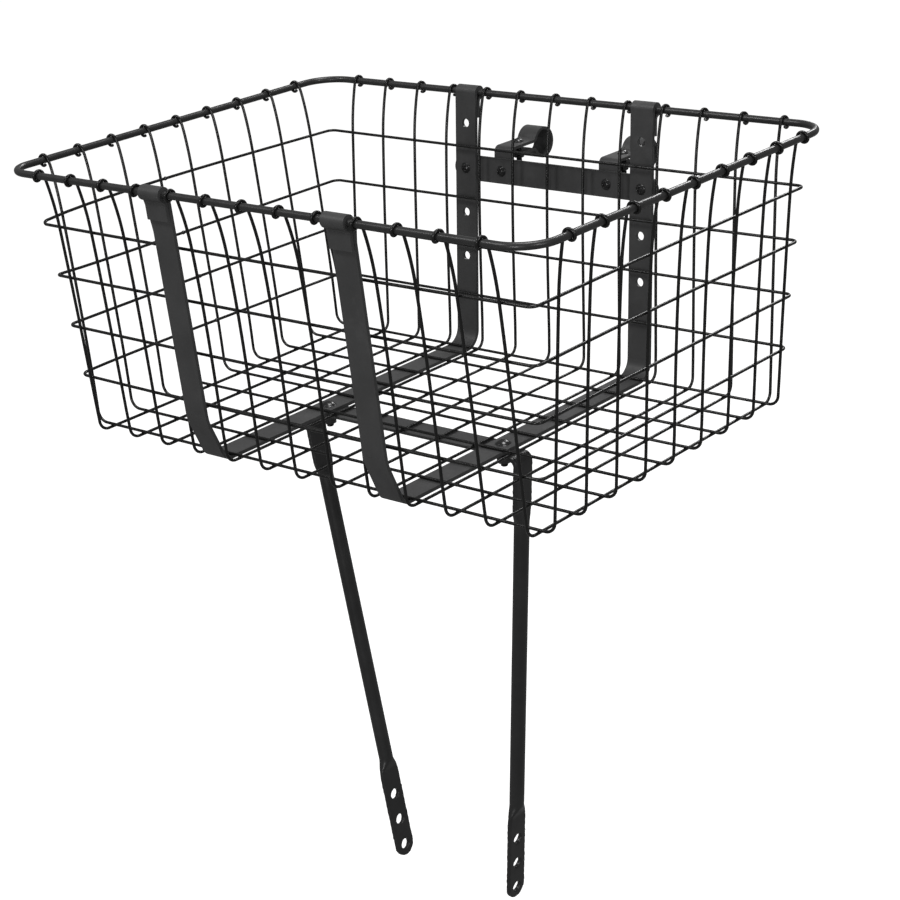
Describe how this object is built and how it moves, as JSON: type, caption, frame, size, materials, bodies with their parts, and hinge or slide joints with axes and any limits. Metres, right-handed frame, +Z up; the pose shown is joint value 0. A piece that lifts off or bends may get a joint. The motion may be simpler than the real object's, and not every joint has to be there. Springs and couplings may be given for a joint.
{
  "type": "handlebar basket",
  "caption": "Large black wire handlebar basket with flat steel bands, handlebar clamps on a bracket strip, and tubular legs down to the wheel axle.",
  "frame": {"origin": "on the handlebar's axis, midway between the clamps", "axes": "+X along the handlebar, to the right as seen from the front; +Y back towards the bicycle; +Z up"},
  "size_m": [0.536, 0.4366, 0.6546],
  "materials": {
    "black_paint": "satin",
    "black_hardware": "satin"
  },
  "bodies": {
    "basket": {"rim": "black_paint", "long_wire_01": "black_paint", "long_wire_02": "black_paint", "long_wire_03": "black_paint", "long_wire_04": "black_paint", "long_wire_05": "black_paint", "long_wire_06": "black_paint", "long_wire_07": "black_paint", "long_wire_08": "black_paint", "long_wire_09": "black_paint", "long_wire_10": "black_paint", "long_wire_11": "black_paint", "long_wire_12": "black_paint", "long_wire_13": "black_paint", "side_wire_01": "black_paint", "side_wire_02": "black_paint", "side_wire_03": "black_paint", "side_wire_04": "black_paint", "side_wire_05": "black_paint", "side_wire_06": "black_paint", "side_wire_07": "black_paint", "side_wire_08": "black_paint", "side_wire_09": "black_paint", "hoop_1": "black_paint", "hoop_2": "black_paint", "hoop_3": "black_paint", "hoop_4": "black_paint", "band_left": "black_paint", "band_right": "black_paint", "bracket_strip": "black_paint", "cross_strip": "black_paint", "bracket_screws": "black_hardware", "bracket_nuts": "black_hardware", "leg_bolts": "black_hardware", "leg_nuts": "black_hardware"},
    "leg_left": {"leg_left": "black_paint"},
    "leg_right": {"leg_right": "black_paint"},
    "clamp_left": {"clamp_left": "black_paint", "clamp_bolt_left": "black_hardware", "clamp_nut_left": "black_hardware"},
    "clamp_right": {"clamp_right": "black_paint", "clamp_bolt_right": "black_hardware", "clamp_nut_right": "black_hardware"}
  },
  "joints": [
    {"name": "leg_left_swivel", "type": "hinge", "parent": "basket", "child": "leg_left", "pos_m": [-0.0925, -0.252, -0.17925], "axis": [0, 0, 1], "range_deg": [-180, 180]},
    {"name": "leg_right_swivel", "type": "hinge", "parent": "basket", "child": "leg_right", "pos_m": [0.0925, -0.252, -0.17925], "axis": [0, 0, 1], "range_deg": [-180, 180]},
    {"name": "clamp_left_swivel", "type": "hinge", "parent": "basket", "child": "clamp_left", "pos_m": [-0.0555, -0.04619, -0.016], "axis": [0, 0.9956, -0.0941], "range_deg": [-180, 180]},
    {"name": "clamp_right_swivel", "type": "hinge", "parent": "basket", "child": "clamp_right", "pos_m": [0.0555, -0.04619, -0.016], "axis": [0, 0.9956, -0.0941], "range_deg": [-180, 180]}
  ]
}
